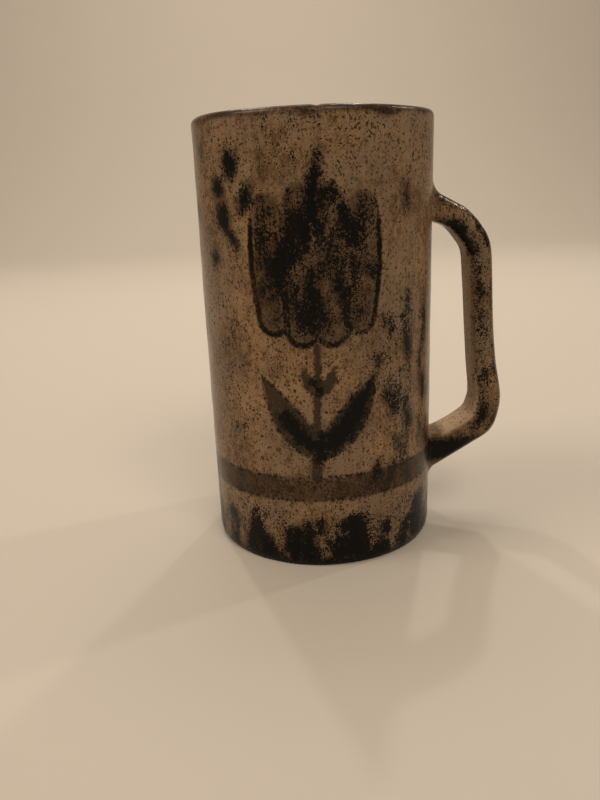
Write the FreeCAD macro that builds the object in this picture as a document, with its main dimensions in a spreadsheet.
"""A hand-built half-litre stoneware beer stein with no lid, as a parametric FreeCAD document.

Frame: millimetres, +Z up, origin at the centre of the flat underside, strap handle along +X.
The potter's pieces stay separate: the wall, the base disc that closes it, the coil that seals
the corner between those two, the pulled strap handle, and the two coils of soft clay that
join the handle's roots to the wall.
"""
import FreeCAD, Part
import os
import Sketcher

# Driving dimensions. Every size of every piece is bound to one of these cells.
SIZES = {
    "stein_height": 150.0,
    "foot_radius": 41.0,         # outside, just above the foot's bevel
    "rim_radius": 41.5,          # outside, just below the lip
    "bevel_width": 1.6,
    "bevel_height": 3.2,
    "lip_thickness": 4.2,
    "bore_radius": 36.0,         # inside, where the base disc sits
    "base_thickness": 7.0,
    "seam_coil_reach": 5.0,      # how far the sealing coil runs along the base and up the wall
    "seam_coil_lift": 1.5,       # raises the hollow's centre, so that its edges aren't feathered
    "strap_inner_corner": 2.2,   # the crisper arris, on the finger side
    "strap_outer_corner": 3.6,
}

# Cross-sections that a loft runs through: reach from the stein's axis, height, heading below
# the horizon in degrees, thickness in the plane of the handle, and width across it.
SECTION_FIELDS = ("reach", "height", "heading", "thickness", "width")
STRAP_SECTIONS = [
    (36.0, 120.4, 20.0, 10.6, 17.6),
    (41.6, 118.3, 22.0, 10.2, 17.2),
    (47.0, 115.9, 30.0, 9.4, 16.4),
    (50.6, 113.8, 40.0, 9.4, 16.0),
    (54.6, 109.4, 52.0, 9.7, 15.5),
    (57.8, 103.6, 70.0, 9.6, 15.2),
    (58.9, 93.0, 87.0, 9.4, 15.0),
    (59.9, 77.0, 86.0, 9.2, 15.0),
    (61.2, 62.0, 84.5, 9.6, 15.0),
    (62.8, 50.0, 88.0, 10.6, 15.2),
    (62.4, 44.2, 106.0, 11.2, 15.4),
    (60.2, 38.6, 131.0, 11.8, 15.6),
    (54.4, 34.4, 149.0, 11.2, 15.8),
    (47.9, 30.7, 152.0, 11.4, 16.2),
    (41.2, 27.4, 154.0, 12.4, 16.8),
    (36.0, 24.9, 154.0, 13.0, 17.2),
]
UPPER_COIL_SECTIONS = [
    (38.0, 120.0, 0.0, 22.0, 28.0),
    (41.6, 119.1, 0.0, 17.0, 22.6),
    (43.6, 118.0, 0.0, 13.6, 19.4),
    (47.0, 115.8, 0.0, 11.8, 17.4),
]
LOWER_COIL_SECTIONS = [
    (38.0, 27.2, 180.0, 24.0, 27.0),
    (41.5, 27.6, 180.0, 19.6, 22.0),
    (43.6, 28.3, 180.0, 16.4, 19.0),
    (46.8, 29.9, 180.0, 14.4, 17.4),
]


def sections_of(prefix, sections):
    """The sheet's cells for one loft: an alias and a value for each field of each section."""
    return {
        f"{prefix}{number}_{field}": value
        for number, section in enumerate(sections)
        for field, value in zip(SECTION_FIELDS, section)
    }


def make_sheet(doc):
    """Writes the driving dimensions into a spreadsheet, one aliased cell each."""
    sheet = doc.addObject("Spreadsheet::Sheet", "Sizes")
    cells = dict(SIZES)
    cells.update(sections_of("strap", STRAP_SECTIONS))
    cells.update(sections_of("upper", UPPER_COIL_SECTIONS))
    cells.update(sections_of("lower", LOWER_COIL_SECTIONS))
    for row, (alias, value) in enumerate(cells.items(), start=1):
        sheet.set(f"A{row}", alias)
        sheet.set(f"B{row}", str(value))
        sheet.setAlias(f"B{row}", alias)
    doc.recompute()


def origin_feature(body, role):
    """One of the body's own origin planes or axes."""
    return next(feature for feature in body.Origin.OriginFeatures if feature.Role == role)


def make_sketch(body, name, plane):
    """A sketch on one of the body's own origin planes."""
    sketch = body.newObject("Sketcher::SketchObject", name)
    sketch.AttachmentSupport = [(origin_feature(body, plane), "")]
    sketch.MapMode = "FlatFace"
    return sketch


def value_of(sketch, expression):
    """What an expression over the sheet's cells comes to now, as a plain number."""
    value = sketch.evalExpression(expression)
    return float(getattr(value, "Value", value))


def hold(sketch, kind, axis_line, geometry, point, expression):
    """Holds one coordinate of a sketch point at an expression, or on an axis where it is zero."""
    value = value_of(sketch, expression)
    if abs(value) < 1e-9:
        sketch.addConstraint(Sketcher.Constraint("PointOnObject", geometry, point, axis_line))
        return
    index = sketch.addConstraint(Sketcher.Constraint(kind, -1, 1, geometry, point, value))
    sketch.setExpression(f"Constraints[{index}]", expression)


def draw_profile(sketch, corners, arcs):
    """Draws a closed profile through corners, each a pair of expressions over the sheet's cells.

    A side is straight unless arcs names it: there it is an arc about the given centre, and
    anticlockwise is true where the arc runs anticlockwise from its first corner.
    """
    points = [FreeCAD.Vector(value_of(sketch, x), value_of(sketch, y), 0) for x, y in corners]
    ends = []
    for side, start in enumerate(points):
        finish = points[(side + 1) % len(points)]
        anticlockwise = True
        edge = Part.LineSegment(start, finish)
        if side in arcs:
            (centre_x, centre_y), anticlockwise = arcs[side]
            centre = FreeCAD.Vector(value_of(sketch, centre_x), value_of(sketch, centre_y), 0)
            circle = Part.Circle(centre, FreeCAD.Vector(0, 0, 1), (start - centre).Length)
            first, last = (start, finish) if anticlockwise else (finish, start)
            edge = Part.ArcOfCircle(circle, circle.parameter(first), circle.parameter(last))
        sketch.addGeometry(edge, False)
        ends.append((1, 2) if anticlockwise else (2, 1))
    for side, (x, y) in enumerate(corners):
        after = (side + 1) % len(corners)
        sketch.addConstraint(
            Sketcher.Constraint("Coincident", side, ends[side][1], after, ends[after][0])
        )
        hold(sketch, "DistanceX", -2, side, ends[side][0], x)
        hold(sketch, "DistanceY", -1, side, ends[side][0], y)
    for side, ((_, centre_y), _) in arcs.items():
        hold(sketch, "DistanceY", -1, side, 3, centre_y)


def turn(body, kind, sketch):
    """Turns a sketch right round the stein's axis, to add clay or to cut it away."""
    feature = body.newObject(kind, f"{sketch.Name}_turned")
    feature.Profile = sketch
    feature.ReferenceAxis = (origin_feature(body, "Z_Axis"), [""])
    feature.Angle = 360.0
    body.Tip = feature
    return feature


LIP_RADIUS = "Sizes.lip_thickness / 2"
LIP_CENTRE = "Sizes.stein_height - Sizes.lip_thickness / 2"
RIM_BORE = "Sizes.rim_radius - Sizes.lip_thickness"


def make_wall(doc):
    """The wall: a slightly tapered tube with a bevelled foot and a round lip."""
    body = doc.addObject("PartDesign::Body", "wall")
    sketch = make_sketch(body, "wall_profile", "XZ_Plane")
    corners = [
        ("Sizes.bore_radius", "0"),
        ("Sizes.foot_radius - Sizes.bevel_width", "0"),
        ("Sizes.foot_radius", "Sizes.bevel_height"),
        ("Sizes.rim_radius", LIP_CENTRE),
        (RIM_BORE, LIP_CENTRE),
        ("Sizes.bore_radius", "Sizes.base_thickness"),
    ]
    lip_side = 3
    draw_profile(sketch, corners, {lip_side: ((f"Sizes.rim_radius - {LIP_RADIUS}", LIP_CENTRE), True)})
    turn(body, "PartDesign::Revolution", sketch)
    return body


def make_base(doc):
    """The base: a disc of clay that fills the wall's foot, flush with it underneath."""
    body = doc.addObject("PartDesign::Body", "base")
    sketch = make_sketch(body, "base_profile", "XZ_Plane")
    corners = [
        ("0", "0"),
        ("Sizes.bore_radius", "0"),
        ("Sizes.bore_radius", "Sizes.base_thickness"),
        ("0", "Sizes.base_thickness"),
    ]
    draw_profile(sketch, corners, {})
    turn(body, "PartDesign::Revolution", sketch)
    return body


def make_seam_coil(doc):
    """The coil pressed into the corner between wall and base, wiped to a hollow curve."""
    body = doc.addObject("PartDesign::Body", "seam_coil")
    sketch = make_sketch(body, "seam_coil_profile", "XZ_Plane")
    top = "Sizes.base_thickness + Sizes.seam_coil_reach"
    lean = f"({RIM_BORE} - Sizes.bore_radius) / ({LIP_CENTRE} - Sizes.base_thickness)"
    corners = [
        ("Sizes.bore_radius - Sizes.seam_coil_reach", "Sizes.base_thickness"),
        ("Sizes.bore_radius", "Sizes.base_thickness"),
        (f"Sizes.bore_radius + Sizes.seam_coil_reach * {lean}", top),
    ]
    centre = ("Sizes.bore_radius - Sizes.seam_coil_reach", f"{top} + Sizes.seam_coil_lift")
    hollow_side = 2
    draw_profile(sketch, corners, {hollow_side: (centre, False)})
    turn(body, "PartDesign::Revolution", sketch)
    return body


def draw_section(body, cell, inner_corner, outer_corner):
    """One cross-section of a loft: a rectangle with rounded corners, square to its heading.

    The sketch's +X side faces the fingers. cell is the start of the section's aliases.
    """
    sketch = make_sketch(body, f"{cell}_section", "XY_Plane")
    across = FreeCAD.Vector(0, 1, 0)
    sketch.AttachmentOffset = FreeCAD.Placement(FreeCAD.Vector(), FreeCAD.Rotation(across, 90))
    sketch.setExpression("AttachmentOffset.Base.x", f"Sizes.{cell}_reach")
    sketch.setExpression("AttachmentOffset.Base.z", f"Sizes.{cell}_height")
    sketch.setExpression("AttachmentOffset.Rotation.Angle", f"90 + Sizes.{cell}_heading")
    inner, side = f"Sizes.{cell}_thickness / 2", f"Sizes.{cell}_width / 2"
    outer = f"-Sizes.{cell}_thickness / 2"
    inner_centre, outer_centre = f"{inner} - {inner_corner}", f"{outer} + {outer_corner}"
    corners = [
        (inner, f"-({side} - {inner_corner})"),
        (inner, f"{side} - {inner_corner}"),
        (inner_centre, side),
        (outer_centre, side),
        (outer, f"{side} - {outer_corner}"),
        (outer, f"-({side} - {outer_corner})"),
        (outer_centre, f"-{side}"),
        (inner_centre, f"-{side}"),
    ]
    arcs = {
        1: ((inner_centre, f"{side} - {inner_corner}"), True),
        3: ((outer_centre, f"{side} - {outer_corner}"), True),
        5: ((outer_centre, f"-({side} - {outer_corner})"), True),
        7: ((inner_centre, f"-({side} - {inner_corner})"), True),
    }
    draw_profile(sketch, corners, arcs)
    return sketch


def loft_sections(body, prefix, count, inner_corner, outer_corner):
    """Lofts a body through its numbered cross-sections."""
    sketches = [
        draw_section(body, f"{prefix}{number}", inner_corner, outer_corner) for number in range(count)
    ]
    loft = body.newObject("PartDesign::AdditiveLoft", f"{prefix}_loft")
    loft.Profile = sketches[0]
    loft.Sections = sketches[1:]
    body.Tip = loft


def trim_to_wall(body, prefix):
    """Cuts away what lies inside the wall's outer face, so that the piece meets it face to face."""
    sketch = make_sketch(body, f"{prefix}_trim", "XZ_Plane")
    corners = [
        ("0", "Sizes.bevel_height"),
        ("Sizes.foot_radius", "Sizes.bevel_height"),
        ("Sizes.rim_radius", LIP_CENTRE),
        ("0", LIP_CENTRE),
    ]
    draw_profile(sketch, corners, {})
    turn(body, "PartDesign::Groove", sketch)


def make_handle(doc):
    """The strap handle, pulled from one lump and bent to shape, both roots trimmed to the wall."""
    body = doc.addObject("PartDesign::Body", "handle")
    loft_sections(
        body, "strap", len(STRAP_SECTIONS), "Sizes.strap_inner_corner", "Sizes.strap_outer_corner"
    )
    trim_to_wall(body, "strap")
    return body


def make_joint_coil(doc, label, prefix, count, handle):
    """A flared collar of soft clay round one of the handle's roots, hollowed by the strap."""
    body = doc.addObject("PartDesign::Body", f"{prefix}_flare")
    loft_sections(body, prefix, count, "Sizes.strap_outer_corner", "Sizes.strap_outer_corner")
    trim_to_wall(body, prefix)
    coil = doc.addObject("Part::Cut", label)
    coil.Base = body
    coil.Tool = handle
    return coil


def check_and_write(doc, nodes):
    """Stops on any failed object or shape, then writes each piece under its own label."""
    for item in doc.Objects:
        if {"Invalid", "Error"} & set(item.State):
            raise RuntimeError(f"{item.Label} failed: {item.State}")
    os.makedirs("parts", exist_ok=True)
    for node in nodes:
        if node.Shape.isNull() or not node.Shape.isValid() or len(node.Shape.Solids) != 1:
            raise RuntimeError(f"{node.Label} is not one valid solid")
        node.Shape.exportStep(f"parts/{node.Label}.step")
        size = node.Shape.BoundBox
        print(f"{node.Label}: {node.Shape.Volume / 1000:.1f} ml of clay, "
              f"{size.XLength:.1f} x {size.YLength:.1f} x {size.ZLength:.1f} mm")


def main():
    doc = FreeCAD.newDocument("stein")
    make_sheet(doc)
    handle = make_handle(doc)
    nodes = [
        make_wall(doc),
        make_base(doc),
        make_seam_coil(doc),
        handle,
        make_joint_coil(doc, "upper_joint_coil", "upper", len(UPPER_COIL_SECTIONS), handle),
        make_joint_coil(doc, "lower_joint_coil", "lower", len(LOWER_COIL_SECTIONS), handle),
    ]
    doc.recompute()
    check_and_write(doc, nodes)


main()
